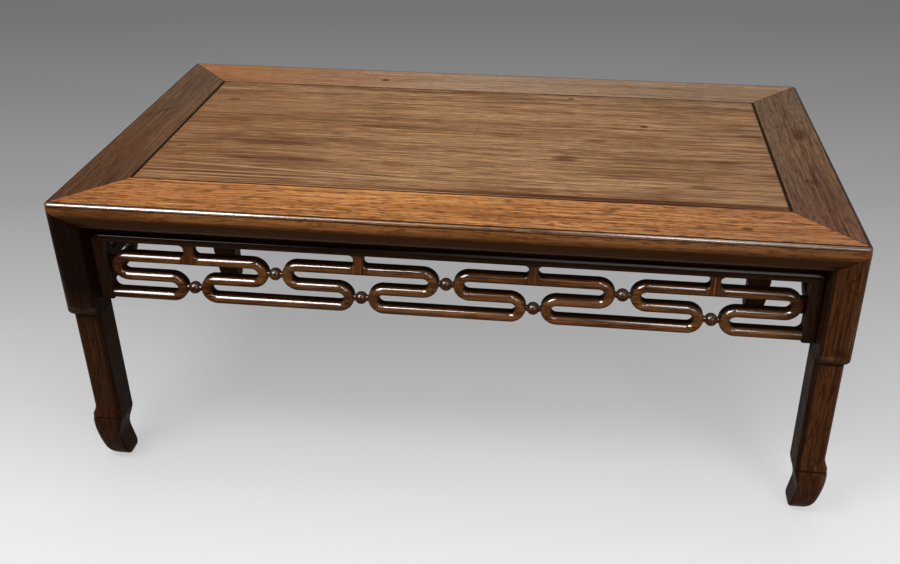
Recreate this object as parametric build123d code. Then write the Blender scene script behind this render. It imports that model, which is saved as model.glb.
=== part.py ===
"""Kang table: a mitred frame-and-panel top on four hoofed legs, with pierced meander aprons.

Millimetres. +X runs along the length, +Y to the back, +Z up. The origin is on the floor, under the
middle of the top. Corner-local distances are u, in from an end face, and v, in from a long face.
"""
from build123d import *
from math import sqrt
import os

# Whole table
LENGTH = 840.0
DEPTH = 424.0
HEIGHT = 352.0

# Top frame
FRAME_WIDTH = 67.0
FRAME_THICK = 32.0
CORNER_RADIUS = 5.5
FRAME_UNDERSIDE = HEIGHT - FRAME_THICK
GROOVE_DEPTH = 8.5
GROOVE_LOW = HEIGHT - 14.0
GROOVE_HIGH = HEIGHT - 8.0
MITRE_TENON_V = (40.0, 56.0)
MITRE_TENON_Z = (HEIGHT - 21.0, HEIGHT - 9.0)
MITRE_TENON_STOP = 14.0

# Moulded edge of the frame, as (distance in from the face, drop below the top)
EDGE_TOP_QUIRK = (3.4, 0.0)
EDGE_BEAD_TOP = (3.0, 0.6)
EDGE_BEAD_MID = (1.1, 1.5)
EDGE_BEAD_LOW = (0.3, 3.4)
EDGE_LOW_QUIRK = (0.9, 3.9)
EDGE_FACE_MID = (0.0, 11.0)
EDGE_FACE_LOW = (0.9, 18.0)
EDGE_ROLL_MID = (3.2, 25.6)
EDGE_ROLL_LOW = (7.6, FRAME_THICK)
EDGE_MARGIN = 2.0

# Panel
PANEL_TONGUE = 8.0
PANEL_END_GAP = 0.9
PANEL_SIDE_GAP = 0.25
BOARD_JOINT_Y = 114.0
BOARD_TONGUE = 4.0
BOARD_TONGUE_Z = (HEIGHT - 9.0, HEIGHT - 4.0)
BOARD_CHAMFER = 0.3

# Battens under the panel
BATTEN_X = 165.0
BATTEN_WIDTH = 36.0
DOVETAIL_ROOT = 24.0
DOVETAIL_CREST = 30.0
DOVETAIL_DEPTH = 4.0
BATTEN_TENON_LENGTH = 12.0
BATTEN_TENON_WIDTH = 20.0
BATTEN_TENON_Z = (FRAME_UNDERSIDE + 3.0, FRAME_UNDERSIDE + 13.0)

# Legs
LEG_FACE = 0.2
LEG_INNER = 34.0
LEG_ARRIS = 1.5
LEG_MITRE_TOP = HEIGHT - 8.5
LEG_TENON_LONG = (19.0, 29.0)
LEG_TENON_SHORT = (8.0, 17.0)
LEG_TENON_TOP = HEIGHT - 12.0
SHOULDER_TOP = 224.0
SHOULDER_ROUND = (1.4, 216.8)
SHOULDER_LOW = 211.0
SHAFT_FACE = 4.2
SHAFT_INNER = 35.4
SHAFT_TOP_INNER = 224.0
SHAFT_LOW = 80.0
SHAFT_ARRIS = 6.0
SIDE_ARRIS = 3.0

# Foot, as (height, outer face, inner face, radius of the outer arris)
FLARE_SECTIONS = (
    (SHAFT_LOW, SHAFT_FACE, SHAFT_INNER, SHAFT_ARRIS),
    (77.0, 3.7, SHAFT_INNER, SHAFT_ARRIS),
    (72.0, 2.1, SHAFT_INNER, SHAFT_ARRIS),
    (68.3, 1.0, SHAFT_INNER, SHAFT_ARRIS),
    (66.5, 1.8, 35.3, SHAFT_ARRIS),
)
HOOF_SECTIONS = (
    (66.5, 1.8, 35.3, 6.0),
    (64.5, 0.8, 35.5, 6.2),
    (60.0, 0.2, 34.9, 6.5),
    (56.0, 0.1, 34.0, 6.8),
    (51.0, 0.2, 32.4, 7.0),
    (46.0, 0.5, 31.2, 7.2),
    (40.0, 1.1, 30.6, 7.5),
    (31.0, 2.2, 31.2, 8.0),
    (24.0, 3.4, 32.0, 8.0),
    (17.0, 5.1, 32.8, 7.5),
    (11.0, 7.6, 33.4, 7.0),
    (5.5, 11.6, 33.2, 6.5),
    (2.0, 15.6, 31.9, 5.5),
    (0.0, 19.2, 29.6, 4.0),
)

# Aprons: depths are measured in from the outer face of the frame
APRON_FACE = 18.0
APRON_BACK = 31.0
APRON_TOP = HEIGHT - 45.5
RAIL_HEIGHT = 8.8
RAIL_UNDERSIDE = APRON_TOP - RAIL_HEIGHT
APRON_STILE = 14.5
APRON_CORNER = 8.0
APRON_INNER_CORNER = 5.0
APRON_ARRIS = 2.0
WAIST_FACE = 24.0
WAIST_TONGUE = 5.0

# Meander strip
STRAP = 11.0
STRAP_CREST = APRON_FACE + 0.5
LEVEL_STEP = 23.7
TURN_RADIUS = LEVEL_STEP / 2
TEE_HEIGHT = 14.7
Z_HIGH = RAIL_UNDERSIDE - TEE_HEIGHT - STRAP / 2
Z_MID = Z_HIGH - LEVEL_STEP
Z_LOW = Z_MID - LEVEL_STEP
APRON_BOTTOM = Z_LOW - STRAP / 2
END_WEB = 3.0
END_WEB_FACE = 24.5
END_WEB_INSET = 2.5
END_FILLET = 7.0

# Tongue of an apron stile in its leg
STILE_TONGUE = 4.0
STILE_TONGUE_V = (20.5, 24.5)
STILE_TONGUE_Z = (APRON_BOTTOM + 8.0, APRON_TOP - 14.0)

# Tee that hangs the meander from the rail
TEE_HALF = 10.0
TEE_NECK_HALF = 4.9
TEE_ARRIS = 1.4
TEE_TENON_HALF = 4.0
TEE_TENON_HEIGHT = 5.0

# Stub tenons between the strips
STUB_HALF = 2.75
STUB_V = (23.5, 28.5)
STUB_LENGTH = 4.0

# Beads
BEAD_RADIUS = 7.0
BEAD_V = 25.0
BEAD_GAP = 15.5
BEAD_NECK_RADIUS = 3.5
BEAD_PIN_RADIUS = 2.0
BEAD_PIN_DEPTH = 3.5

# Units of the meander in each apron
LONG_UNITS = 4
SHORT_UNITS = 2

HALF_LENGTH = LENGTH / 2
HALF_DEPTH = DEPTH / 2
OPENING_X = HALF_LENGTH - FRAME_WIDTH
OPENING_Y = HALF_DEPTH - FRAME_WIDTH


def block(x_range, y_range, z_range):
    """A box between three pairs of limits."""
    size = [high - low for low, high in (x_range, y_range, z_range)]
    centre = [(high + low) / 2 for low, high in (x_range, y_range, z_range)]
    return Pos(*centre) * Box(*size)


def prism(points, z_range):
    """An upright prism over a plan outline."""
    outline = make_face(Polyline(*points, close=True))
    return Pos(0, 0, z_range[0]) * extrude(outline, z_range[1] - z_range[0])


def corner_block(u_range, v_range, z_range):
    """A box at the front left corner, given by distances in from the two faces."""
    x_range = [-HALF_LENGTH + u for u in u_range]
    y_range = [-HALF_DEPTH + v for v in v_range]
    return block(x_range, y_range, z_range)


# ---------------------------------------------------------------- top frame


def edge_cutter():
    """The waste over the edge's bead and face, swept once round the rounded plan."""
    path = RectangleRounded(LENGTH, DEPTH, CORNER_RADIUS).wire()
    start = path @ 0
    tangent = path % 0
    outward = tangent.cross(Vector(0, 0, 1))
    if outward.dot(start) < 0:
        outward = outward * -1
    section_plane = Plane(origin=start, x_dir=outward, z_dir=tangent)
    down = -1 if section_plane.y_dir.Z > 0 else 1

    def at(edge_point):
        return (-edge_point[0], down * edge_point[1])

    outer = -EDGE_MARGIN
    above = -EDGE_MARGIN
    edges = [
        Line(at(EDGE_TOP_QUIRK), at(EDGE_BEAD_TOP)),
        ThreePointArc(at(EDGE_BEAD_TOP), at(EDGE_BEAD_MID), at(EDGE_BEAD_LOW)),
        Line(at(EDGE_BEAD_LOW), at(EDGE_LOW_QUIRK)),
        ThreePointArc(at(EDGE_LOW_QUIRK), at(EDGE_FACE_MID), at(EDGE_FACE_LOW)),
        Polyline(at(EDGE_FACE_LOW), at((outer, EDGE_FACE_LOW[1])), at((outer, above))),
        Polyline(at((outer, above)), at((EDGE_TOP_QUIRK[0], above)), at(EDGE_TOP_QUIRK)),
    ]
    section = section_plane * make_face(edges)
    return Pos(0, 0, HEIGHT) * sweep(section, path=path)


def roll_cutters():
    """The waste under the edge's face, straight along each side and past the corners."""
    past = EDGE_MARGIN
    below = FRAME_THICK + past
    around = [EDGE_ROLL_LOW, (EDGE_ROLL_LOW[0], below), (-past, below)]
    around += [(-past, EDGE_FACE_LOW[1]), EDGE_FACE_LOW]
    roll = (EDGE_FACE_LOW, EDGE_ROLL_MID, EDGE_ROLL_LOW)

    def on_front(point):
        return (-HALF_LENGTH - past, -HALF_DEPTH + point[0], HEIGHT - point[1])

    def on_left(point):
        return (-HALF_LENGTH + point[0], -HALF_DEPTH - past, HEIGHT - point[1])

    cutters = []
    sides = ((on_front, (1, 0, 0), LENGTH, Plane.XZ), (on_left, (0, 1, 0), DEPTH, Plane.YZ))
    for seen, direction, run, middle in sides:
        arc = ThreePointArc(*[seen(point) for point in roll])
        rest = Polyline(*[seen(point) for point in around])
        cutter = extrude(make_face([arc, rest]), run + 2 * past, dir=direction)
        cutters += [cutter, cutter.mirror(middle)]
    return cutters


def frame_ring():
    """The four frame members before they are parted at the mitres."""
    ring = extrude(RectangleRounded(LENGTH, DEPTH, CORNER_RADIUS), FRAME_THICK)
    ring = Pos(0, 0, FRAME_UNDERSIDE) * ring - edge_cutter()
    for cutter in roll_cutters():
        ring -= cutter
    ring -= Pos(0, 0, HEIGHT) * Box(2 * OPENING_X, 2 * OPENING_Y, 3 * FRAME_THICK)
    groove_x = (-OPENING_X - GROOVE_DEPTH, OPENING_X + GROOVE_DEPTH)
    groove_y = (-OPENING_Y - GROOVE_DEPTH, OPENING_Y + GROOVE_DEPTH)
    return ring - block(groove_x, groove_y, (GROOVE_LOW, GROOVE_HIGH))


def mitre_tenon():
    """The front stile's blind tenon in the left rail, beyond the mitre."""
    reach = corner_block((MITRE_TENON_STOP, MITRE_TENON_V[1]), MITRE_TENON_V, MITRE_TENON_Z)
    mitred = prism(
        [
            (-HALF_LENGTH, -HALF_DEPTH),
            (-HALF_LENGTH + FRAME_WIDTH, -HALF_DEPTH + FRAME_WIDTH),
            (-HALF_LENGTH, -HALF_DEPTH + FRAME_WIDTH),
        ],
        MITRE_TENON_Z,
    )
    return reach & mitred


def apron_groove(half_span, outer_face):
    """The groove under a frame member for the apron's tongue, with its length along X."""
    v_range = (outer_face + WAIST_FACE, outer_face + APRON_BACK)
    z_range = (FRAME_UNDERSIDE, FRAME_UNDERSIDE + WAIST_TONGUE)
    return block((-half_span, half_span), v_range, z_range)


def front_stile(ring, seats):
    """The long front member of the frame, with its tenons, cut for legs, apron and battens."""
    past = EDGE_MARGIN
    outline = [
        (-HALF_LENGTH - past, -HALF_DEPTH - past),
        (HALF_LENGTH + past, -HALF_DEPTH - past),
        (OPENING_X, -OPENING_Y),
        (-OPENING_X, -OPENING_Y),
    ]
    stile = ring & prism(outline, (FRAME_UNDERSIDE - past, HEIGHT + past))
    left_tenon = mitre_tenon()
    stile += left_tenon
    stile += left_tenon.mirror(Plane.YZ)
    stile -= apron_groove(HALF_LENGTH - LEG_INNER, -HALF_DEPTH)
    for side in (-1, 1):
        stile -= batten_tenon(side * BATTEN_X)
    for seat in seats:
        stile -= seat
    return stile


def left_rail(ring, seats):
    """The short left member of the frame, mortised for the stiles' tenons."""
    past = EDGE_MARGIN
    outline = [
        (-HALF_LENGTH - past, -HALF_DEPTH - past),
        (-OPENING_X, -OPENING_Y),
        (-OPENING_X, OPENING_Y),
        (-HALF_LENGTH - past, HALF_DEPTH + past),
    ]
    rail = ring & prism(outline, (FRAME_UNDERSIDE - past, HEIGHT + past))
    front_tenon = mitre_tenon()
    rail -= front_tenon
    rail -= front_tenon.mirror(Plane.XZ)
    rail -= Rot(0, 0, -90) * apron_groove(HALF_DEPTH - LEG_INNER, -HALF_LENGTH)
    for seat in seats:
        rail -= seat
    return rail


# ---------------------------------------------------------------- panel and battens


def batten_tenon(x_centre):
    """The front tenon of a batten, in the front stile."""
    half = BATTEN_TENON_WIDTH / 2
    y_range = (-OPENING_Y - BATTEN_TENON_LENGTH, -OPENING_Y)
    return block((x_centre - half, x_centre + half), y_range, BATTEN_TENON_Z)


def batten(x_centre):
    """A batten with a dovetailed back that slides into the panel's underside."""
    half = BATTEN_WIDTH / 2
    body = block(
        (x_centre - half, x_centre + half), (-OPENING_Y, OPENING_Y), (FRAME_UNDERSIDE, GROOVE_LOW)
    )
    tenon = batten_tenon(x_centre)
    return body + dovetail(x_centre) + tenon + tenon.mirror(Plane.XZ)


def dovetail(x_centre):
    """The dovetailed back of a batten, across the panel."""
    top = GROOVE_LOW + DOVETAIL_DEPTH
    outline = [
        (x_centre - DOVETAIL_ROOT / 2, 0, GROOVE_LOW),
        (x_centre + DOVETAIL_ROOT / 2, 0, GROOVE_LOW),
        (x_centre + DOVETAIL_CREST / 2, 0, top),
        (x_centre - DOVETAIL_CREST / 2, 0, top),
    ]
    face = make_face(Polyline(*outline, close=True))
    return extrude(face, OPENING_Y, dir=(0, 1, 0), both=True)


def panel_boards():
    """The floating panel's front and back boards, joined by a tongue."""
    surface_x = OPENING_X - PANEL_END_GAP
    surface_y = OPENING_Y - PANEL_SIDE_GAP
    tongue_x = OPENING_X + PANEL_TONGUE
    tongue_y = OPENING_Y + PANEL_TONGUE
    x_surface = (-surface_x, surface_x)
    x_tongue = (-tongue_x, tongue_x)
    z_surface = (GROOVE_HIGH, HEIGHT)
    z_tongue = (GROOVE_LOW, GROOVE_HIGH)
    front = block(x_surface, (-surface_y, BOARD_JOINT_Y), z_surface)
    front = chamfer(joint_arris(front), BOARD_CHAMFER)
    front += block(x_tongue, (-tongue_y, BOARD_JOINT_Y), z_tongue)
    back = block(x_surface, (BOARD_JOINT_Y, surface_y), z_surface)
    back = chamfer(joint_arris(back), BOARD_CHAMFER)
    back += block(x_tongue, (BOARD_JOINT_Y, tongue_y), z_tongue)
    joint_tongue = block(x_surface, (BOARD_JOINT_Y - BOARD_TONGUE, BOARD_JOINT_Y), BOARD_TONGUE_Z)
    front -= joint_tongue
    back += joint_tongue
    for side in (-1, 1):
        front -= dovetail(side * BATTEN_X)
        back -= dovetail(side * BATTEN_X)
    return front, back


def joint_arris(board):
    """The top edge of a board along the joint between the two boards."""
    along = board.edges().filter_by(Axis.X).filter_by_position(Axis.Z, HEIGHT, HEIGHT)
    return along.filter_by_position(Axis.Y, BOARD_JOINT_Y, BOARD_JOINT_Y)


# ---------------------------------------------------------------- legs


def mitred(solid):
    """A leg's head kept under the two slopes of its three-way mitre.

    Each slope is level outside the leg's face, and falls from there to the frame's underside at
    the leg's inner face.
    """
    outside = -EDGE_MARGIN
    outline = [
        (outside, SHOULDER_LOW),
        (outside, LEG_MITRE_TOP),
        (LEG_FACE, LEG_MITRE_TOP),
        (LEG_INNER, FRAME_UNDERSIDE),
        (LEG_INNER, SHOULDER_LOW),
    ]
    reach = LEG_INNER - outside
    front = [(-HALF_LENGTH + u, -HALF_DEPTH + outside, z) for u, z in outline]
    side = [(-HALF_LENGTH + outside, -HALF_DEPTH + v, z) for v, z in outline]
    solid &= extrude(make_face(Polyline(*front, close=True)), reach, dir=(0, 1, 0))
    return solid & extrude(make_face(Polyline(*side, close=True)), reach, dir=(1, 0, 0))


def leg_tenons():
    """The two tenons on a leg's head, one in a stile and one in a rail."""
    tenon_z = (FRAME_UNDERSIDE - FRAME_THICK / 2, LEG_TENON_TOP)
    tenons = corner_block(LEG_TENON_LONG, LEG_TENON_SHORT, tenon_z)
    return tenons + corner_block(LEG_TENON_SHORT, LEG_TENON_LONG, tenon_z)


def leg_seat():
    """The space of a leg's head in the frame, open to the outside."""
    span = (-EDGE_MARGIN, LEG_INNER)
    block_above = corner_block(span, span, (SHOULDER_LOW, LEG_MITRE_TOP))
    return mitred(block_above) + leg_tenons()


def leg_head():
    """The front left leg from its shoulder up: a block with a three-way mitre and two tenons."""
    span = (LEG_FACE, LEG_INNER)
    head = corner_block(span, span, (SHOULDER_LOW, LEG_MITRE_TOP))
    uprights = head.edges().filter_by(Axis.Z)
    outer = uprights.group_by(Axis.X)[0].sort_by(Axis.Y)[0]
    others = [edge for edge in uprights if edge.center() != outer.center()]
    head = fillet(others, LEG_ARRIS)
    uprights = head.edges().filter_by(Axis.Z)
    outer = uprights.group_by(Axis.X)[0].sort_by(Axis.Y)[0]
    head = fillet(outer, CORNER_RADIUS - LEG_FACE)
    head = mitred(head) - shoulder_waste(True) - shoulder_waste(False)
    return head + leg_tenons()


def shoulder_waste(from_front):
    """The waste outside the rounded lower edge of a leg's head, on one of its outer faces."""
    lip = (LEG_FACE, SHOULDER_TOP)
    foot = (SHAFT_FACE, SHOULDER_LOW)
    past = EDGE_MARGIN
    around = [foot, (SHAFT_FACE, SHOULDER_LOW - past), (-past, SHOULDER_LOW - past)]
    around += [(-past, SHOULDER_TOP), lip]
    if from_front:

        def seen(u, z):
            return (-HALF_LENGTH + u, -HALF_DEPTH, z)

    else:

        def seen(u, z):
            return (-HALF_LENGTH, -HALF_DEPTH + u, z)

    arc = ThreePointArc(seen(*lip), seen(*SHOULDER_ROUND), seen(*foot))
    rest = Polyline(*[seen(*point) for point in around])
    direction = (0, 1, 0) if from_front else (1, 0, 0)
    return extrude(make_face([arc, rest]), 2 * LEG_INNER, dir=direction, both=True)


def leg_shaft():
    """The straight shaft between the shoulder and the foot."""
    span = (SHAFT_FACE, SHAFT_INNER)
    shaft = corner_block(span, span, (SHAFT_LOW, SHAFT_TOP_INNER))
    uprights = shaft.edges().filter_by(Axis.Z)
    outer = uprights.group_by(Axis.X)[0].sort_by(Axis.Y)[0]
    others = [edge for edge in uprights if edge.center() != outer.center()]
    shaft = fillet(others, SIDE_ARRIS)
    outer = shaft.edges().filter_by(Axis.Z).group_by(Axis.X)[0].sort_by(Axis.Y)[0]
    shaft = fillet(outer, SHAFT_ARRIS)
    return shaft - shaft_cove()


def shaft_cove():
    """The waste over the shaft's inner sides, where it curves back under the aprons."""
    step = SHAFT_INNER - LEG_INNER
    rise = SHAFT_TOP_INNER - SHOULDER_LOW
    radius = (step**2 + rise**2) / (2 * step)
    mid_rise = rise / 2
    mid_step = radius - sqrt(radius**2 - mid_rise**2)
    low = (SHAFT_INNER, SHOULDER_LOW)
    high = (LEG_INNER, SHAFT_TOP_INNER)
    middle = (LEG_INNER + mid_step, SHAFT_TOP_INNER - mid_rise)
    past = (SHAFT_INNER + EDGE_MARGIN, SHAFT_TOP_INNER + EDGE_MARGIN)
    corner = (LEG_INNER, SHAFT_TOP_INNER + EDGE_MARGIN)
    turn = (past[0], SHOULDER_LOW)

    def seen(points, from_front):
        if from_front:
            return [(-HALF_LENGTH + u, -HALF_DEPTH, z) for u, z in points]
        return [(-HALF_LENGTH, -HALF_DEPTH + u, z) for u, z in points]

    cutters = []
    for from_front in (True, False):
        arc = ThreePointArc(*seen([low, middle, high], from_front))
        rest = Polyline(*seen([high, corner, past, turn, low], from_front))
        direction = (0, 1, 0) if from_front else (1, 0, 0)
        cutters.append(extrude(make_face([arc, rest]), 2 * SHAFT_INNER, dir=direction))
    return cutters[0] + cutters[1]


def foot_section(height, outer, inner, arris):
    """One level outline of the foot, a square with rounded corners set on the corner's diagonal."""
    low_x = -HALF_LENGTH + outer
    low_y = -HALF_DEPTH + outer
    high_x = -HALF_LENGTH + inner
    high_y = -HALF_DEPTH + inner
    side = SIDE_ARRIS
    diagonal = 1 - 1 / sqrt(2)

    def bend(corner_x, corner_y, radius, step_x, step_y):
        start = (corner_x + radius * step_x, corner_y)
        middle = (corner_x + radius * diagonal * step_x, corner_y + radius * diagonal * step_y)
        end = (corner_x, corner_y + radius * step_y)
        return start, middle, end

    first = bend(low_x, low_y, arris, 1, 1)
    second = bend(high_x, low_y, side, -1, 1)
    third = bend(high_x, high_y, side, -1, -1)
    fourth = bend(low_x, high_y, side, 1, -1)
    edges = [
        ThreePointArc(*first[::-1]),
        Line(first[0], second[0]),
        ThreePointArc(*second),
        Line(second[2], third[2]),
        ThreePointArc(*third[::-1]),
        Line(third[0], fourth[0]),
        ThreePointArc(*fourth),
        Line(fourth[2], first[2]),
    ]
    return Pos(0, 0, height) * make_face(edges)


def front_left_leg():
    """The whole front left leg, with the grooves for two apron stiles."""
    leg = leg_head() + leg_shaft()
    leg += loft([foot_section(*section) for section in FLARE_SECTIONS])
    leg += loft([foot_section(*section) for section in HOOF_SECTIONS])
    pocket = (LEG_INNER - STILE_TONGUE, LEG_INNER)
    leg -= corner_block(pocket, STILE_TONGUE_V, STILE_TONGUE_Z)
    leg -= corner_block(STILE_TONGUE_V, pocket, STILE_TONGUE_Z)
    return leg


# ---------------------------------------------------------------- aprons
# Each apron is built with its length along X, its outer side towards -Y and Y measured in from the
# frame's outer face, and is then turned to its side of the table.


def apron_outline(inner_edge, half_span, outer_corner, depth_range):
    """The rail and stiles of an apron in one piece, between two depths."""
    bottom = APRON_BOTTOM
    corners = [(-half_span, bottom), (-half_span, APRON_TOP)]
    corners += [(half_span, APRON_TOP), (half_span, bottom)]
    outer = FilletPolyline(*corners, radius=outer_corner) if outer_corner else Polyline(*corners)
    inner = FilletPolyline(
        (inner_edge, bottom),
        (inner_edge, RAIL_UNDERSIDE),
        (-inner_edge, RAIL_UNDERSIDE),
        (-inner_edge, bottom),
        radius=APRON_INNER_CORNER,
    )
    right_foot = Line((half_span, bottom), (inner_edge, bottom))
    left_foot = Line((-inner_edge, bottom), (-half_span, bottom))
    face = make_face([outer, right_foot, inner, left_foot])
    upright = Plane(origin=(0, depth_range[0], 0), x_dir=(1, 0, 0), z_dir=(0, -1, 0))
    return extrude(upright * face, depth_range[0] - depth_range[1])


def apron_frame(half_span, inner_edge):
    """The apron's rail and its two stiles, parted at mitres."""
    front = apron_outline(inner_edge, half_span, APRON_CORNER, (APRON_FACE, WAIST_FACE))
    arrises = front.faces().sort_by(Axis.Y)[0].edges()
    keep = [edge for edge in arrises if edge.center().Z > APRON_BOTTOM + 0.1]
    front = fillet(keep, APRON_ARRIS)
    whole = front + apron_outline(inner_edge, half_span, 0, (WAIST_FACE, APRON_BACK))
    past = APRON_TOP + EDGE_MARGIN
    mitre_run = APRON_STILE / RAIL_HEIGHT
    above = EDGE_MARGIN * mitre_run
    depth = (APRON_FACE - EDGE_MARGIN, APRON_BACK + EDGE_MARGIN)
    outline = [
        (-inner_edge, depth[0], RAIL_UNDERSIDE),
        (inner_edge, depth[0], RAIL_UNDERSIDE),
        (half_span + above, depth[0], past),
        (-half_span - above, depth[0], past),
    ]
    wedge = extrude(make_face(Polyline(*outline, close=True)), depth[1] - depth[0], dir=(0, 1, 0))
    rail = whole & wedge
    stiles = whole - wedge
    waist_z = (APRON_TOP, FRAME_UNDERSIDE + WAIST_TONGUE)
    rail += block((-half_span, half_span), (WAIST_FACE, APRON_BACK), waist_z)
    left, right = stiles.solids().sort_by(Axis.X)
    left += block((-half_span - STILE_TONGUE, -half_span), STILE_TONGUE_V, STILE_TONGUE_Z)
    right += block((half_span, half_span + STILE_TONGUE), STILE_TONGUE_V, STILE_TONGUE_Z)
    return rail, left, right


def strip(stations):
    """A half-round strip along a level path that turns back on itself at each change of level.

    Stations are (x, z) ends of the straight runs. Where two neighbours share x, they are the ends
    of a half-circle, which bulges away from the run before it.
    """
    edges = []
    heading = 1
    for here, there in zip(stations, stations[1:]):
        start = (here[0], 0, here[1])
        end = (there[0], 0, there[1])
        if abs(here[0] - there[0]) > TURN_RADIUS / 10:
            heading = 1 if there[0] > here[0] else -1
            edges.append(Line(start, end))
            continue
        middle = (here[0] + heading * TURN_RADIUS, 0, (here[1] + there[1]) / 2)
        edges.append(ThreePointArc(start, middle, end))
    path = Wire(edges)
    half = STRAP / 2
    shoulder = STRAP_CREST + half
    section = make_face(
        [
            Line((shoulder, half), (APRON_BACK, half)),
            Line((APRON_BACK, half), (APRON_BACK, -half)),
            Line((APRON_BACK, -half), (shoulder, -half)),
            ThreePointArc((shoulder, -half), (STRAP_CREST, 0), (shoulder, half)),
        ]
    )
    start_plane = Plane(origin=path @ 0, x_dir=(0, 1, 0), z_dir=path % 0)
    return sweep(start_plane * section, path=path)


def stub(x_from, z_centre, heading):
    """A stub tenon that leaves the end of a strip."""
    x_range = sorted((x_from, x_from + heading * STUB_LENGTH))
    return block(x_range, STUB_V, (z_centre - STUB_HALF, z_centre + STUB_HALF))


def tee(x_centre):
    """The flat-faced neck between the rail and the middle of a top run."""
    low = Z_HIGH - STRAP / 2
    neck_low = Z_HIGH + STRAP / 2
    radius = TEE_HALF - TEE_NECK_HALF
    sweep_in = radius * (1 - 1 / sqrt(2))

    def flank(side):
        edge = x_centre + side * TEE_HALF
        neck = x_centre + side * TEE_NECK_HALF
        inset = edge - side * (radius - sweep_in)
        low_arc = ThreePointArc(
            (edge, neck_low), (inset, neck_low + sweep_in), (neck, neck_low + radius)
        )
        high_arc = ThreePointArc(
            (neck, RAIL_UNDERSIDE - radius), (inset, RAIL_UNDERSIDE - sweep_in), (edge, RAIL_UNDERSIDE)
        )
        straight = Line((neck, neck_low + radius), (neck, RAIL_UNDERSIDE - radius))
        return [Line((edge, low), (edge, neck_low)), low_arc, straight, high_arc]

    left = x_centre - TEE_HALF
    right = x_centre + TEE_HALF
    base = Line((left, low), (right, low))
    head = Line((left, RAIL_UNDERSIDE), (right, RAIL_UNDERSIDE))
    face = make_face([base, head] + flank(-1) + flank(1))
    upright = Plane(origin=(0, STRAP_CREST, 0), x_dir=(1, 0, 0), z_dir=(0, -1, 0))
    body = extrude(upright * face, STRAP_CREST - APRON_BACK)
    arrises = body.faces().sort_by(Axis.Y)[0].edges()
    rounded = [edge for edge in arrises if low + 0.1 < edge.center().Z < RAIL_UNDERSIDE - 0.1]
    body = fillet(rounded, TEE_ARRIS)
    return body - tee_waste(x_centre) + tee_tenon(x_centre)


def tee_waste(x_centre):
    """The waste under the tee, outside the half-round of the strips that it joins."""
    half = STRAP / 2
    left = x_centre - TEE_HALF - EDGE_MARGIN
    outer = STRAP_CREST - EDGE_MARGIN
    low = Z_HIGH - half - EDGE_MARGIN
    turn = half * (1 - 1 / sqrt(2))
    crest = (left, STRAP_CREST, Z_HIGH)
    middle = (left, STRAP_CREST + turn, Z_HIGH - half / sqrt(2))
    foot = (left, STRAP_CREST + half, Z_HIGH - half)
    around = [foot, (left, STRAP_CREST + half, low), (left, outer, low), (left, outer, Z_HIGH), crest]
    face = make_face([ThreePointArc(crest, middle, foot), Polyline(*around)])
    return extrude(face, 2 * (TEE_HALF + EDGE_MARGIN), dir=(1, 0, 0))


def tee_tenon(x_centre):
    """The tee's tenon in the rail."""
    z_range = (RAIL_UNDERSIDE, RAIL_UNDERSIDE + TEE_TENON_HEIGHT)
    return block((x_centre - TEE_TENON_HALF, x_centre + TEE_TENON_HALF), STUB_V, z_range)


def end_hook(side, tee_x, inner_edge, turn):
    """The strip from an end tee, round two loops and into the stile, with its web and fillet.

    The tee's distance from the middle is tee_x, whichever side it is on.
    """
    reach = inner_edge - END_WEB - STRAP / 2 - TURN_RADIUS
    low_turn = inner_edge - turn
    hook = strip(
        [
            (side * (tee_x + TEE_HALF), Z_HIGH),
            (side * reach, Z_HIGH),
            (side * reach, Z_MID),
            (side * low_turn, Z_MID),
            (side * low_turn, Z_LOW),
            (side * inner_edge, Z_LOW),
        ]
    )
    web_x = sorted((side * (inner_edge - END_WEB - STRAP / 2), side * inner_edge))
    web_z = (Z_MID + END_WEB_INSET, Z_HIGH - END_WEB_INSET)
    hook += block(web_x, (END_WEB_FACE, APRON_BACK), web_z)
    hook += end_fillet(side, inner_edge)
    return hook


def end_fillet(side, inner_edge):
    """The small curved fillet where a bottom run meets the stile."""
    z_strip = Z_LOW + STRAP / 2
    near = side * (inner_edge - END_FILLET)
    edge = side * inner_edge
    reach = END_FILLET * (1 - 1 / sqrt(2))
    face = make_face(
        [
            ThreePointArc(
                (near, z_strip), (edge - side * reach, z_strip + reach), (edge, z_strip + END_FILLET)
            ),
            Polyline((edge, z_strip + END_FILLET), (edge, z_strip - STRAP / 4)),
            Polyline((edge, z_strip - STRAP / 4), (near, z_strip - STRAP / 4), (near, z_strip)),
        ]
    )
    upright = Plane(origin=(0, END_WEB_FACE, 0), x_dir=(1, 0, 0), z_dir=(0, -1, 0))
    return extrude(upright * face, END_WEB_FACE - APRON_BACK)


def meander(tee_x, pitch, turn):
    """The strip between two tees, down round a bottom loop and up again."""
    middle = tee_x + pitch
    next_tee = tee_x + 2 * pitch
    return strip(
        [
            (tee_x + TEE_HALF, Z_HIGH),
            (tee_x + turn, Z_HIGH),
            (tee_x + turn, Z_MID),
            (middle - turn, Z_MID),
            (middle - turn, Z_LOW),
            (middle + turn, Z_LOW),
            (middle + turn, Z_MID),
            (next_tee - turn, Z_MID),
            (next_tee - turn, Z_HIGH),
            (next_tee - TEE_HALF, Z_HIGH),
        ]
    )


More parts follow.
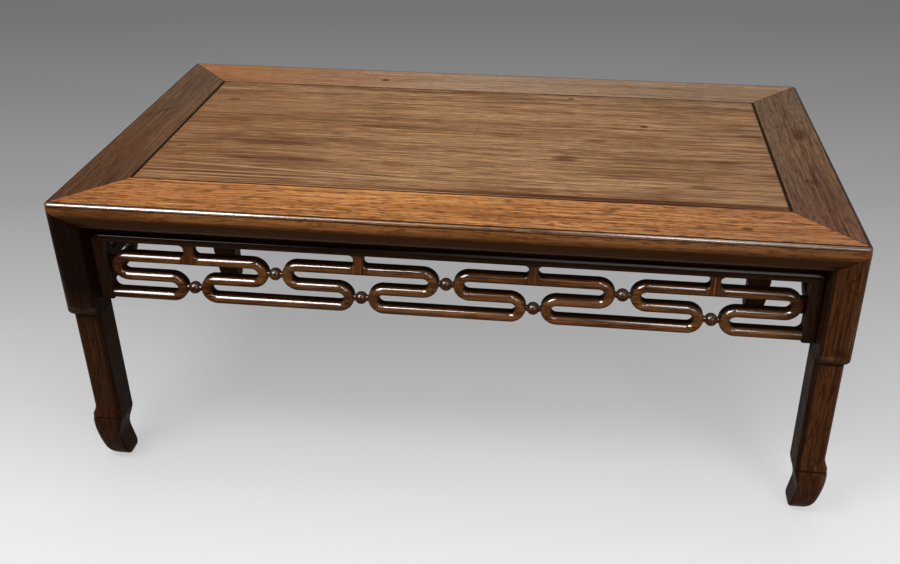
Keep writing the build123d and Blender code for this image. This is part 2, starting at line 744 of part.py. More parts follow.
def bead(x_centre, z_centre):
    """A turned ball with a collar on each side that meets the strips, and its pin."""
    collar_x = BEAD_GAP / 2
    pin_x = collar_x + BEAD_PIN_DEPTH
    collar_root = sqrt(BEAD_RADIUS**2 - BEAD_NECK_RADIUS**2)
    edges = [
        ThreePointArc((-collar_root, BEAD_NECK_RADIUS), (0, BEAD_RADIUS), (collar_root, BEAD_NECK_RADIUS)),
        Polyline((collar_root, BEAD_NECK_RADIUS), (collar_x, BEAD_NECK_RADIUS)),
        Polyline((collar_x, BEAD_NECK_RADIUS), (collar_x, BEAD_PIN_RADIUS), (pin_x, BEAD_PIN_RADIUS)),
        Polyline((pin_x, BEAD_PIN_RADIUS), (pin_x, 0), (-pin_x, 0), (-pin_x, BEAD_PIN_RADIUS)),
        Polyline((-pin_x, BEAD_PIN_RADIUS), (-collar_x, BEAD_PIN_RADIUS)),
        Polyline((-collar_x, BEAD_PIN_RADIUS), (-collar_x, BEAD_NECK_RADIUS)),
        Polyline((-collar_x, BEAD_NECK_RADIUS), (-collar_root, BEAD_NECK_RADIUS)),
    ]
    turned = revolve(make_face(edges), Axis.X)
    return Pos(x_centre, BEAD_V, z_centre) * turned


def bead_pin(x_centre, z_centre):
    """The space of a bead's pin, in the strips on both sides."""
    pin = Rot(0, 90, 0) * Cylinder(BEAD_PIN_RADIUS, BEAD_GAP + 2 * BEAD_PIN_DEPTH)
    return Pos(x_centre, BEAD_V, z_centre) * pin


def apron(name, half_span, units, stile_names):
    """All the pieces of one apron, as node name to shape."""
    inner_edge = half_span - APRON_STILE
    pitch = inner_edge / units
    turn = pitch - BEAD_GAP / 2 - STRAP / 2 - TURN_RADIUS
    rail, first_stile, last_stile = apron_frame(half_span, inner_edge)
    tee_xs = [(2 * index + 1 - units) * pitch for index in range(units)]
    tees = [tee(x) for x in tee_xs]
    left_hook = end_hook(-1, -tee_xs[0], inner_edge, turn)
    right_hook = end_hook(1, tee_xs[-1], inner_edge, turn)
    runs = [left_hook] + [meander(x, pitch, turn) for x in tee_xs[:-1]] + [right_hook]

    z_low_bead = (Z_LOW + Z_MID) / 2
    z_high_bead = (Z_MID + Z_HIGH) / 2
    places = [(x, z_low_bead) for x in tee_xs]
    places += [(x + pitch, z_high_bead) for x in tee_xs[:-1]]
    beads = [bead(x, z) for x, z in sorted(places)]
    for x, z in places:
        for index, run in enumerate(runs):
            if is_beside(run, x):
                runs[index] = run - bead_pin(x, z)

    for index, x in enumerate(tee_xs):
        left_stub = stub(x - TEE_HALF, Z_HIGH, 1)
        right_stub = stub(x + TEE_HALF, Z_HIGH, -1)
        runs[index] += left_stub
        runs[index + 1] += right_stub
        tees[index] -= left_stub
        tees[index] -= right_stub
        rail -= tee_tenon(x)
    left_stub = stub(-inner_edge, Z_LOW, -1)
    right_stub = stub(inner_edge, Z_LOW, 1)
    runs[0] += left_stub
    runs[-1] += right_stub
    first_stile -= left_stub
    last_stile -= right_stub

    pieces = {
        f"{name}_apron_rail": rail,
        f"{name}_apron_{stile_names[0]}_stile": first_stile,
        f"{name}_apron_{stile_names[1]}_stile": last_stile,
        f"{name}_apron_{stile_names[0]}_hook": runs[0],
        f"{name}_apron_{stile_names[1]}_hook": runs[-1],
        f"{name}_apron_beads": Compound(children=beads),
    }
    for index, piece in enumerate(runs[1:-1], start=1):
        pieces[f"{name}_apron_meander_{index}"] = piece
    for index, piece in enumerate(tees, start=1):
        pieces[f"{name}_apron_tee_{index}"] = piece
    return pieces


def is_beside(run, x):
    """Whether a strip reaches the neighbourhood of a bead at x."""
    reach = run.bounding_box()
    return reach.min.X - BEAD_GAP < x < reach.max.X + BEAD_GAP


# ---------------------------------------------------------------- the table


def table():
    """Every piece of the table, as node name to shape."""
    seat = leg_seat()
    ring = frame_ring()
    front = front_stile(ring, [seat, seat.mirror(Plane.YZ)])
    left = left_rail(ring, [seat, seat.mirror(Plane.XZ)])
    leg = front_left_leg()
    front_board, back_board = panel_boards()
    pieces = {
        "front_top_stile": front,
        "back_top_stile": front.mirror(Plane.XZ),
        "left_top_rail": left,
        "right_top_rail": left.mirror(Plane.YZ),
        "front_panel_board": front_board,
        "back_panel_board": back_board,
        "left_batten": batten(-BATTEN_X),
        "right_batten": batten(BATTEN_X),
        "front_left_leg": leg,
        "front_right_leg": leg.mirror(Plane.YZ),
        "back_left_leg": leg.mirror(Plane.XZ),
        "back_right_leg": leg.mirror(Plane.XZ).mirror(Plane.YZ),
    }
    long_span = HALF_LENGTH - LEG_INNER
    short_span = HALF_DEPTH - LEG_INNER
    placements = (
        ("front", long_span, LONG_UNITS, ("left", "right"), HALF_DEPTH, 0),
        ("right", short_span, SHORT_UNITS, ("front", "back"), HALF_LENGTH, 90),
        ("back", long_span, LONG_UNITS, ("right", "left"), HALF_DEPTH, 180),
        ("left", short_span, SHORT_UNITS, ("back", "front"), HALF_LENGTH, -90),
    )
    for name, half_span, units, stile_names, reach, turned in placements:
        for node, piece in apron(name, half_span, units, stile_names).items():
            pieces[node] = Rot(0, 0, turned) * Pos(0, -reach, 0) * piece
    return pieces


def main():
    """Write one STEP file for each piece."""
    os.makedirs("parts", exist_ok=True)
    for node, piece in table().items():
        export_step(piece, f"parts/{node}.step")


main()
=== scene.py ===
"""Kang table: wood finishes, studio and camera for a low hardwood table.

The shapes of the table are the nodes of its CAD frame, in metres: +X along the length, +Y to the
back, +Z up, with the origin on the floor under the middle of the top. This script gives each piece
of wood its own grain, colour and wear, paints light and shade into some of those colours, and
sets the table in a plain pale studio.
"""

from __future__ import annotations

import logging
import math
from dataclasses import dataclass
from enum import Enum
from typing import Any, Optional, Sequence, Union

import bpy
from mathutils import Euler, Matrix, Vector

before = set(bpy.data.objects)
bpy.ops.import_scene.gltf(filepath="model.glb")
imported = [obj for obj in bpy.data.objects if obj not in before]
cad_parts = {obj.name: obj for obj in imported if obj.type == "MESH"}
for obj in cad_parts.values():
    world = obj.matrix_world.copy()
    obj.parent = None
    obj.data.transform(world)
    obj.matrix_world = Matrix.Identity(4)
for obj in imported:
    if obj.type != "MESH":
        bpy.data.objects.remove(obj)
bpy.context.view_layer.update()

logging.basicConfig(level=logging.INFO, format="%(message)s")
log = logging.getLogger("kang_table")

Colour = tuple[float, float, float]
Number = Union[float, "Signal"]
Figure = dict[str, Number]

# The table, in metres
HALF_LENGTH = 0.420
HALF_DEPTH = 0.212
HEIGHT = 0.352
OPENING_X = 0.353
OPENING_Y = 0.145

IMAGE_WIDTH = 900.0
IMAGE_HEIGHT = 564.0
SENSOR_WIDTH = 36.0
NEAREST_SEEN = 0.05

# The share of a stripe's half width over which its mask is full
STRIPE_CORE = 0.4


# ------------------------ shader expressions


class Signal:
    """One number that varies over a surface, held as a shader socket."""

    def __init__(self, tree: "ShaderTree", socket: bpy.types.NodeSocket) -> None:
        """Wrap a socket.

        Args:
            tree: The tree that the socket belongs to.
            socket: An output socket that carries a number.
        """
        self.tree = tree
        self.socket = socket

    def _math(self, operation: str, *others: Number) -> "Signal":
        """Add a Math node that starts from this signal.

        Args:
            operation: The Math node's operation.
            others: Its further inputs.

        Returns:
            The node's result.
        """
        return self.tree.math(operation, self, *others)

    def __add__(self, other: Number) -> "Signal":
        """Sum."""
        return self._math("ADD", other)

    def __radd__(self, other: Number) -> "Signal":
        """Sum, reflected."""
        return self.tree.math("ADD", other, self)

    def __sub__(self, other: Number) -> "Signal":
        """Difference."""
        return self._math("SUBTRACT", other)

    def __rsub__(self, other: Number) -> "Signal":
        """Difference, reflected."""
        return self.tree.math("SUBTRACT", other, self)

    def __mul__(self, other: Number) -> "Signal":
        """Product."""
        return self._math("MULTIPLY", other)

    def __rmul__(self, other: Number) -> "Signal":
        """Product, reflected."""
        return self.tree.math("MULTIPLY", other, self)

    def __truediv__(self, other: Number) -> "Signal":
        """Quotient."""
        return self._math("DIVIDE", other)

    def __rtruediv__(self, other: Number) -> "Signal":
        """Quotient, reflected."""
        return self.tree.math("DIVIDE", other, self)

    def __abs__(self) -> "Signal":
        """Size without its sign."""
        return self._math("ABSOLUTE")

    def clamped(self) -> "Signal":
        """The signal kept between 0 and 1."""
        return self.tree.clamp(self)

    def least(self, other: Number) -> "Signal":
        """The lower of this signal and another."""
        return self._math("MINIMUM", other)

    def most(self, other: Number) -> "Signal":
        """The higher of this signal and another."""
        return self._math("MAXIMUM", other)

    def ramp(self, low: float, high: float) -> "Signal":
        """A smooth step of the signal.

        Args:
            low: Where the step leaves 0.
            high: Where it reaches 1. It may be below low, for a falling step.

        Returns:
            A signal between 0 and 1.
        """
        if low > high:
            return 1.0 - self.ramp(high, low)
        return self.tree.smooth_step(self, low, high)

    def band(self, middle: float, half: float) -> "Signal":
        """A soft-edged band of the signal.

        Args:
            middle: Where the band is 1.
            half: How far from there it ends.

        Returns:
            A signal between 0 and 1.
        """
        return abs(self - middle).ramp(half, STRIPE_CORE * half)


class ShaderTree:
    """A material's or the world's node tree, built from expressions."""

    def __init__(self, owner: Union[bpy.types.Material, bpy.types.World]) -> None:
        """Empty the tree of a material or world.

        Args:
            owner: The material or world whose nodes are made here.
        """
        owner.use_nodes = True
        self.tree = owner.node_tree
        self.tree.nodes.clear()

    def node(self, kind: str, settings: dict[str, Any], inputs: dict[Any, Any]) -> bpy.types.Node:
        """Add one node.

        Args:
            kind: The node's Blender type.
            settings: Its attributes, and "stops" for the stops of a ramp.
            inputs: The values or links of its sockets, by name or place.

        Returns:
            The node.
        """
        made = self.tree.nodes.new(kind)
        for name, value in settings.items():
            if name == "stops":
                self._set_stops(made, value)
            else:
                setattr(made, name, value)
        for key, value in inputs.items():
            self._feed(made.inputs[key], value)
        return made

    def _set_stops(self, ramp: bpy.types.Node, stops: Sequence[tuple[float, Colour]]) -> None:
        """Replace the stops of a colour ramp.

        Args:
            ramp: The ramp node.
            stops: Pairs of place and colour, lowest place first.
        """
        elements = ramp.color_ramp.elements
        while len(elements) < len(stops):
            elements.new(1.0)
        for element, (place, colour) in zip(elements, stops):
            element.position = place
            element.color = (*colour, 1.0)

    def _feed(self, socket: bpy.types.NodeSocket, value: Any) -> None:
        """Link or set one input.

        Args:
            socket: The input.
            value: A signal, a socket, a colour or a number.
        """
        if isinstance(value, Signal):
            self.tree.links.new(value.socket, socket)
        elif isinstance(value, bpy.types.NodeSocket):
            self.tree.links.new(value, socket)
        elif socket.type == "RGBA" and len(value) == 3:
            socket.default_value = (*value, 1.0)
        else:
            socket.default_value = value

    def math(self, operation: str, *values: Number) -> Signal:
        """Add a Math node.

        Args:
            operation: Its operation.
            values: Its inputs in order.

        Returns:
            Its result.
        """
        made = self.node("ShaderNodeMath", {"operation": operation}, dict(enumerate(values)))
        return Signal(self, made.outputs[0])

    def clamp(self, value: Signal) -> Signal:
        """Keep a signal between 0 and 1."""
        made = self.node("ShaderNodeClamp", {}, {"Value": value})
        return Signal(self, made.outputs[0])

    def smooth_step(self, value: Signal, low: float, high: float) -> Signal:
        """Add a smooth step.

        Args:
            value: The signal.
            low: Where the step leaves 0.
            high: Where it reaches 1.

        Returns:
            A signal between 0 and 1.
        """
        made = self.node(
            "ShaderNodeMapRange",
            {"interpolation_type": "SMOOTHSTEP"},
            {"Value": value, "From Min": low, "From Max": high},
        )
        return Signal(self, made.outputs["Result"])

    def parts(self, vector: bpy.types.NodeSocket) -> tuple[Signal, Signal, Signal]:
        """The three parts of a vector, as signals."""
        split = self.node("ShaderNodeSeparateXYZ", {}, {0: vector})
        return tuple(Signal(self, socket) for socket in split.outputs)

    def point(self, x: Number, y: Number, z: Number) -> bpy.types.NodeSocket:
        """Join three numbers into a point.

        Args:
            x: The first.
            y: The second.
            z: The third.

        Returns:
            The vector's socket.
        """
        return self.node("ShaderNodeCombineXYZ", {}, {0: x, 1: y, 2: z}).outputs[0]

    def noise(self, where: bpy.types.NodeSocket, detail: float, rough: float = 0.5) -> Signal:
        """Soft noise around 0.5, with one cell for each unit of the point.

        Args:
            where: The point at which it is read.
            detail: How many finer layers are added.
            rough: How strong each finer layer is.

        Returns:
            The noise.
        """
        made = self.node(
            "ShaderNodeTexNoise",
            {"noise_dimensions": "3D"},
            {"Vector": where, "Scale": 1.0, "Detail": detail, "Roughness": rough},
        )
        return Signal(self, made.outputs[0])

    def blend(self, share: Number, under: Any, over: Any, how: str = "MIX") -> bpy.types.NodeSocket:
        """Mix two colours.

        Args:
            share: How much of the upper colour shows.
            under: The lower colour, as a colour or a socket.
            over: The upper colour.
            how: The Mix node's blend type.

        Returns:
            The mixed colour's socket.
        """
        made = self.node(
            "ShaderNodeMix",
            {"data_type": "RGBA", "blend_type": how, "clamp_factor": True},
            {0: share, 6: under, 7: over},
        )
        return made.outputs[2]

    def colours(self, value: Number, stops: Sequence[tuple[float, Colour]]) -> bpy.types.NodeSocket:
        """Read a colour ramp.

        Args:
            value: The place on the ramp.
            stops: Pairs of place and colour, lowest place first.

        Returns:
            The colour's socket.
        """
        return self.node("ShaderNodeValToRGB", {"stops": stops}, {0: value}).outputs[0]

    def bump(self, height: Signal, distance: float, strength: float) -> bpy.types.NodeSocket:
        """Turn a height into a normal.

        Args:
            height: The height, from 0 to 1.
            distance: How far 1 stands above 0, in metres.
            strength: How much of it is used.

        Returns:
            The normal's socket.
        """
        made = self.node(
            "ShaderNodeBump", {}, {"Height": height, "Distance": distance, "Strength": strength}
        )
        return made.outputs[0]


# ------------------------ wood


class Grain(Enum):
    """The direction in which a piece's grain runs, as the axes along, across and through it."""

    ALONG_LENGTH = (0, 1, 2)
    ALONG_DEPTH = (1, 0, 2)
    UPRIGHT = (2, 0, 1)


class MarkKind(Enum):
    """What a mark in the wood is: how strong it is, and how sharply it ends."""

    KNOT = (0.85, 0.45)
    CLOUD = (0.50, 0.0)
    LINE = (0.75, 0.2)
    GLEAM = (0.80, 0.1)


@dataclass(frozen=True)
class Mark:
    """One mark, as its place along and across the grain in metres, and its half sizes."""

    kind: MarkKind
    along: float
    across: float
    half_length: float
    half_width: float
    slope: float = 0.0
    strength: float = 1.0


@dataclass(frozen=True)
class Zone:
    """A place where a mask rises softly from 0 to its share."""

    start: float
    full: float
    share: float = 1.0

    def on(self, signal: Signal) -> Signal:
        """The mask of the zone on a signal."""
        mask = signal.ramp(self.start, self.full)
        return mask if self.share == 1.0 else mask * self.share


@dataclass(frozen=True)
class Stripe:
    """A narrow place with soft edges, and its mask's share at the middle."""

    middle: float
    half: float
    share: float = 1.0

    def on(self, signal: Signal) -> Signal:
        """The mask of the stripe on a signal."""
        mask = signal.band(self.middle, self.half)
        return mask if self.share == 1.0 else mask * self.share


@dataclass(frozen=True)
class Tint:
    """A colour laid over the wood, and how much of it shows where its mask is full."""

    colour: Colour
    share: float = 1.0

    def over(
        self, tree: ShaderTree, mask: Signal, under: bpy.types.NodeSocket
    ) -> bpy.types.NodeSocket:
        """Lay the colour over another.

        Args:
            tree: The material's tree.
            mask: Where it lies.
            under: The colour below.

        Returns:
            The mixed colour's socket.
        """
        share = mask if self.share == 1.0 else mask * self.share
        return tree.blend(share, under, self.colour)


@dataclass(frozen=True)
class Tones:
    """The colours of one wood: of its figure from light to dark, and of its streaks."""

    light: Colour
    middle: Colour
    dark: Colour
    streak: Colour


@dataclass(frozen=True)
class Layer:
    """One layer of the figure: noise drawn out along the grain.

    It has so many cells for each metre along the grain and across it, and a zone that turns the
    noise into a mask where one is wanted.
    """

    run: float
    width: float
    detail: float
    rough: float
    shift: float = 0.0
    zone: Optional[Zone] = None


LAYERS: dict[str, Layer] = {
    "bands": Layer(1.6, 42.0, 3.0, 0.6),
    "lines": Layer(5.5, 330.0, 3.0, 0.7),
    "speckle": Layer(30.0, 520.0, 2.0, 0.6, 31.0),
    "lively": Layer(5.0, 17.0, 2.0, 0.5, 17.0, Zone(0.38, 0.62)),
    "fibre": Layer(60.0, 1200.0, 2.0, 0.5),
    "threads": Layer(6.5, 500.0, 2.0, 0.65, 4.0, Zone(0.55, 0.65)),
    "gold": Layer(8.0, 460.0, 2.0, 0.65, 13.0, Zone(0.54, 0.64)),
    "streaks": Layer(3.6, 95.0, 4.0, 0.66, 7.0, Zone(0.55, 0.71)),
    "dashes": Layer(60.0, 420.0, 2.0, 0.6, 21.0, Zone(0.51, 0.64)),
    "pores": Layer(110.0, 850.0, 1.0, 0.5, 0.0, Zone(0.58, 0.70)),
    "clouds": Layer(4.0, 14.0, 3.0, 0.55, 2.0, Zone(0.48, 0.72)),
    "uneven": Layer(14.0, 30.0, 2.0, 0.5, 9.0),
}

# How the fibres wander: cells for each metre along and across, and how far in metres
SWAY_RUN = 2.6
SWAY_WIDTH = 8.0
SWAY_DETAIL = 3.0
SWAY_REACH = 0.016
SWAY_RISE = 0.6
SEED_ACROSS = 0.37

# How much of each layer goes into the wood's tone, its relief and its sheen
TONE_SHARES = (("bands", 0.25), ("lines", 0.42), ("speckle", 0.33))
RELIEF_SHARES = (("fibre", 0.5), ("pores", -0.7), ("bands", 0.4))
UNEVEN_SHEEN = 0.2
PORE_SHEEN = 0.15
BUMP_STRENGTH = 0.6

# The colours that are worked out from a finish's own
MIDDLE_TONE = 0.48
GOLD_GAIN = 1.25
GLEAM_GAIN = 1.15
KNOT_TINT: Colour = (1.0, 0.65, 0.55)

# Where a mark ends, in its half sizes, and how much the grain lines fray it
MARK_EDGE = 1.5
MARK_FRAY = 1.4

WOOD_IOR = 1.5
WAX_IOR = 1.9


def total(figure: Figure, shares: Sequence[tuple[str, float]]) -> Signal:
    """Add up layers of the figure.

    Args:
        figure: The figure's signals.
        shares: Pairs of a layer's name and its share.

    Returns:
        The sum.
    """
    first, *others = (figure[name] * share for name, share in shares)
    for other in others:
        first = first + other
    return first


class Spot:
    """Where a point is on the table, as signals in metres.

    Its inset is how far it lies in from the nearer outside of the top, farther is how far from the
    other one, and its drop is how far it lies below the top.
    """

    def __init__(self, tree: ShaderTree) -> None:
        """Read the place and the direction that the surface faces.

        Args:
            tree: The material's tree.
        """
        coordinates = tree.node("ShaderNodeTexCoord", {}, {})
        geometry = tree.node("ShaderNodeNewGeometry", {}, {})
        self.place = tree.parts(coordinates.outputs["Object"])
        self.upward = tree.parts(geometry.outputs["Normal"])[2]
        x, y, z = self.place
        self.from_end = HALF_LENGTH - abs(x)
        self.from_side = HALF_DEPTH - abs(y)
        self.inset = self.from_end.least(self.from_side)
        self.farther = self.from_end.most(self.from_side)
        self.drop = HEIGHT - z

    def along(self, grain: Grain) -> tuple[Signal, Signal, Signal]:
        """The place along, across and through the grain."""
        return tuple(self.place[index] for index in grain.value)


@dataclass(frozen=True)
class Surface:
    """What a finish gives its shader: colour, roughness, and how much wax lies on the wood."""

    colour: bpy.types.NodeSocket
    roughness: Signal
    wax: Number


@dataclass(frozen=True)
class WoodFinish:
    """Waxed old hardwood: its colours, figure and sheen.

    The low end, centre and high end tint the piece along its grain, between its two ends. The
    figure has the calm contrast everywhere and the lively one in places.
    """

    name: str
    grain: Grain
    seed: float
    tones: Tones
    low_end: Colour = (1.0, 1.0, 1.0)
    centre: Colour = (1.0, 1.0, 1.0)
    high_end: Colour = (1.0, 1.0, 1.0)
    ends: tuple[float, float] = (-0.35, 0.35)
    figure: float = 1.0
    calm: float = 5.0
    lively: float = 4.0
    streak_share: float = 0.45
    thread_gain: float = 1.15
    dash_share: float = 0.35
    pore_share: float = 0.35
    gold_share: float = 0.65
    patch_share: float = 0.0
    drift: Colour = (0.14, 0.082, 0.050)
    drift_share: float = 0.5
    roughness: float = 0.45
    reflect: float = 0.04
    glint: Colour = (1.0, 0.62, 0.38)
    wax: float = 0.0
    wax_roughness: float = 0.12
    relief: float = 0.00022
    marks: tuple[Mark, ...] = ()

    def material(self) -> bpy.types.Material:
        """Make the material of this finish.

        Returns:
            The material.
        """
        made = bpy.data.materials.new(self.name)
        tree = ShaderTree(made)
        spot = Spot(tree)
        figure = self._figure(tree, spot)
        bare = Surface(self._colour(tree, spot, figure), self._sheen(figure), self.wax)
        surface = self.aged_with_painted_light(tree, spot, figure, bare)
        height = total(figure, RELIEF_SHARES)
        shader = tree.node(
            "ShaderNodeBsdfPrincipled",
            {},
            {
                "Base Color": surface.colour,
                "Roughness": surface.roughness.clamped(),
                "Normal": tree.bump(height, self.relief, BUMP_STRENGTH),
                "IOR": WOOD_IOR,
                "Specular IOR Level": self.reflect,
                "Specular Tint": (*self.glint, 1.0),
                "Coat Weight": surface.wax,
                "Coat Roughness": self.wax_roughness,
                "Coat IOR": WAX_IOR,
            },
        )
        tree.node("ShaderNodeOutputMaterial", {}, {"Surface": shader.outputs[0]})
        return made

    def _figure(self, tree: ShaderTree, spot: Spot) -> Figure:
        """The wood's figure.

        Args:
            tree: The material's tree.
            spot: Where the point is.

        Returns:
            Named signals between 0 and 1.
        """
        true_along, true_across, rise = spot.along(self.grain)
        along = true_along + self.seed
        across = true_across + SEED_ACROSS * self.seed
        place = tree.point(along * SWAY_RUN, across * SWAY_WIDTH, rise * SWAY_WIDTH)
        swerve = (tree.noise(place, SWAY_DETAIL) - 0.5) * SWAY_REACH
        cross = across + swerve
        up = rise + swerve * SWAY_RISE
        figure: Figure = {}
        for name, layer in LAYERS.items():
            run = along * layer.run + layer.shift
            place = tree.point(run, cross * layer.width, up * layer.width)
            noise = tree.noise(place, layer.detail, layer.rough)
            figure[name] = layer.zone.on(noise) if layer.zone else noise
        for name, pale in (("dark_marks", False), ("pale_marks", True)):
            figure[name] = self._marks(true_along, true_across, figure["lines"], pale)
        return figure

    def _marks(self, along: Signal, across: Signal, lines: Signal, pale: bool) -> Number:
        """A mask of the pale marks, or of the others.

        Args:
            along: The place along the grain.
            across: The place across it.
            lines: The grain lines, which fray the marks' edges.
            pale: Whether the pale marks are wanted.

        Returns:
            A signal between 0 and 1, or 0 where there is no such mark.
        """
        wanted = [mark for mark in self.marks if (mark.kind is MarkKind.GLEAM) == pale]
        mask: Number = 0.0
        for mark in wanted:
            share, core = mark.kind.value
            run = along - mark.along
            far_along = run / mark.half_length
            far_across = (across - mark.across - run * mark.slope) / mark.half_width
            ring = far_along * far_along + far_across * far_across + (lines - 0.5) * MARK_FRAY
            mask = ring.ramp(MARK_EDGE, core) * (share * mark.strength) + mask
        return mask.clamped() if wanted else 0.0

    def _colour(self, tree: ShaderTree, spot: Spot, figure: Figure) -> bpy.types.NodeSocket:
        """The colour of bare waxed wood.

        Args:
            tree: The material's tree.
            spot: Where the point is.
            figure: The figure's signals.

        Returns:
            The colour's socket.
        """
        contrast = (figure["lively"] * self.lively + self.calm) * self.figure
        tone = ((total(figure, TONE_SHARES) - 0.5) * contrast + 0.5).clamped()
        wood = self.tones
        stops = ((0.0, wood.dark), (MIDDLE_TONE, wood.middle), (1.0, wood.light))
        colour = tree.colours(tone, stops)
        colour = tree.blend(figure["clouds"] * self.drift_share, colour, self.drift)
        gold = tuple(min(GOLD_GAIN * part, 1.0) for part in wood.light)
        colour = tree.blend(figure["lively"] * self.patch_share, colour, gold)
        colour = tree.blend(figure["gold"] * (self.gold_share * self.figure), colour, gold)
        dark = figure["streaks"] * self.streak_share
        dark = dark.most(figure["threads"] * (self.thread_gain * self.streak_share))
        dark = dark.most(figure["dashes"] * self.dash_share)
        dark = dark.most(figure["pores"] * self.pore_share)
        colour = tree.blend(dark, colour, wood.streak)
        knot = tuple(part * share for part, share in zip(wood.streak, KNOT_TINT))
        colour = tree.blend(figure["dark_marks"], colour, knot)
        gleam = tuple(GLEAM_GAIN * part for part in wood.light)
        colour = tree.blend(figure["pale_marks"], colour, gleam)
        low, high = self.ends
        place = (spot.along(self.grain)[0] - low) / (high - low)
        stops = ((0.0, self.low_end), (0.5, self.centre), (1.0, self.high_end))
        return tree.blend(1.0, colour, tree.colours(place, stops), "MULTIPLY")

    def _sheen(self, figure: Figure) -> Signal:
        """The roughness of the waxed surface."""
        uneven = (figure["fibre"] - 0.5) * UNEVEN_SHEEN + (figure["uneven"] - 0.5) * UNEVEN_SHEEN
        return uneven + figure["pores"] * PORE_SHEEN + self.roughness

    def aged_with_painted_light(self, tree: ShaderTree, spot: Spot, figure: Figure, bare: Surface) -> Surface:
        """What age, handling and painted light add to a finish. A plain one gets nothing.

        Args:
            tree: The material's tree. Not used here.
            spot: Where the point is. Not used here.
            figure: The figure's signals. Not used here.
            bare: The new wood.

        Returns:
            The wood with its age and painted light.
        """
        return bare


@dataclass(frozen=True)
class TopFinish(WoodFinish):
    """Wood of the table top, with grime in its joints and a polished moulded edge.

    The edge has painted shade in its quirks, on its face and on its underside, and a painted
    reflection of the floor just above its lower edge. The zones are metres down from the top, in
    from its outside, or along it.
    """

    flat: Zone = Zone(0.0012, 0.0006)
    edge: Zone = Zone(0.013, 0.011)
    mitre: Zone = Zone(0.0010, 0.0003)
    mitre_end: Zone = Zone(0.0672, 0.0668)
    mitre_share: float = 0.65
    end_joint: Stripe = Stripe(OPENING_X, 0.0027)
    end_joint_stop: Zone = Zone(OPENING_Y + 0.001, OPENING_Y)
    side_joint: Stripe = Stripe(OPENING_Y, 0.0015)
    side_joint_stop: Zone = Zone(OPENING_X + 0.001, OPENING_X)
    joint_share: float = 0.92
    # Painted shade: dark lines in the two quirks of the edge
    top_quirk: Stripe = Stripe(0.0036, 0.0011)
    low_quirk: Stripe = Stripe(0.0041, 0.0009)
    quirk_share: float = 0.9
    bead_inset: Zone = Zone(0.0036, 0.0030)
    bead_drop: Zone = Zone(0.0046, 0.0038)
    face_drop: Zone = Zone(0.0040, 0.0050)
    # Painted shade on the rounded underside of the edge and below it
    roll_shade_drop: Zone = Zone(0.0100, 0.0180)
    # A painted reflection of the floor: a paler band just above the lower edge
    lip_reflection_drop: Stripe = Stripe(0.0290, 0.0020)
    # Painted shade on the face of the edge: darker at the left end and towards the right
    face_shade_left: Zone = Zone(-0.28, -0.38, 0.30)
    face_shade_right: Zone = Zone(0.0, 0.25, 0.12)
    handled_left: Zone = Zone(-0.14, -0.24)
    handled_right: Zone = Zone(0.08, 0.20)
    handled_share: float = 0.8
    bead_upward: Zone = Zone(-0.1, 0.3)
    polish: Zone = Zone(0.0008, 0.0020, 0.15)
    bead_tint: Tint = Tint((0.045, 0.022, 0.013), 0.6)
    face_tint: Tint = Tint((0.19, 0.052, 0.010), 0.5)
    # The colour of the painted shade on the face of the edge
    face_shade_tint: Tint = Tint((0.050, 0.015, 0.004))
    # The colour of the painted shade under the edge
    roll_shade_tint: Tint = Tint((0.036, 0.0115, 0.0022), 0.92)
    # The colour of the painted reflection above the lower edge
    lip_reflection_tint: Tint = Tint((0.16, 0.095, 0.035), 0.35)
    # Grime in the joints, and painted shade in the quirks
    dirt_and_shade_tint: Tint = Tint((0.012, 0.006, 0.004))
    dirt_and_shade_roughness: float = 0.2

    def aged_with_painted_light(self, tree: ShaderTree, spot: Spot, figure: Figure, bare: Surface) -> Surface:
        """Darken the joints, paint shade and a reflection on the edge, and polish the edge.

        Args:
            tree: The material's tree.
            spot: Where the point is.
            figure: The figure's signals. Not used here.
            bare: The new wood.

        Returns:
            The wood with its grime, painted shade, painted reflection and polish.
        """
        x, y, _ = spot.place
        flat = self.flat.on(spot.drop)
        outer = self.edge.on(spot.inset)
        mitre = self.mitre.on(abs(spot.from_end - spot.from_side))
        mitre = mitre * flat * self.mitre_end.on(spot.inset)
        at_ends = self.end_joint.on(abs(x)) * self.end_joint_stop.on(abs(y))
        at_sides = self.side_joint.on(abs(y)) * self.side_joint_stop.on(abs(x))
        joints = (mitre * self.mitre_share).most(at_ends.most(at_sides) * flat * self.joint_share)
        # Painted shade: dark lines in the quirks of the edge
        top_quirk = self.top_quirk.on(spot.inset) * flat * self.quirk_share
        low_quirk = self.low_quirk.on(spot.drop) * outer * self.quirk_share
        bead = self.bead_inset.on(spot.inset) * self.bead_drop.on(spot.drop)
        face = outer * self.face_drop.on(spot.drop)
        # Painted shade on the face of the edge, at its left end and towards its right
        face_shade = self.face_shade_left.on(x) + self.face_shade_right.on(x)
        # The joints darken with grime, the quirks with painted shade
        dirt_and_shade = joints.most(top_quirk).most(low_quirk)
        colour = self.bead_tint.over(tree, bead, bare.colour)
        colour = self.face_tint.over(tree, face, colour)
        colour = self.face_shade_tint.over(tree, face * face_shade, colour)
        # Painted shade on the rounded underside of the edge and below it
        colour = self.roll_shade_tint.over(tree, self.roll_shade_drop.on(spot.drop), colour)
        # A painted reflection of the floor, in a paler band just above the lower edge
        colour = self.lip_reflection_tint.over(tree, self.lip_reflection_drop.on(spot.drop) * outer, colour)
        colour = self.dirt_and_shade_tint.over(tree, dirt_and_shade, colour)
        handled = self.handled_left.on(x).most(self.handled_right.on(x))
        waxed = handled * self.handled_share + (1.0 - self.handled_share)
        bead_wax = bead * waxed * self.bead_upward.on(spot.upward)
        wax = (bead_wax - dirt_and_shade).clamped() + self.wax
        roughness = bare.roughness - self.polish.on(spot.drop) + dirt_and_shade * self.dirt_and_shade_roughness
        return Surface(colour, roughness, wax)


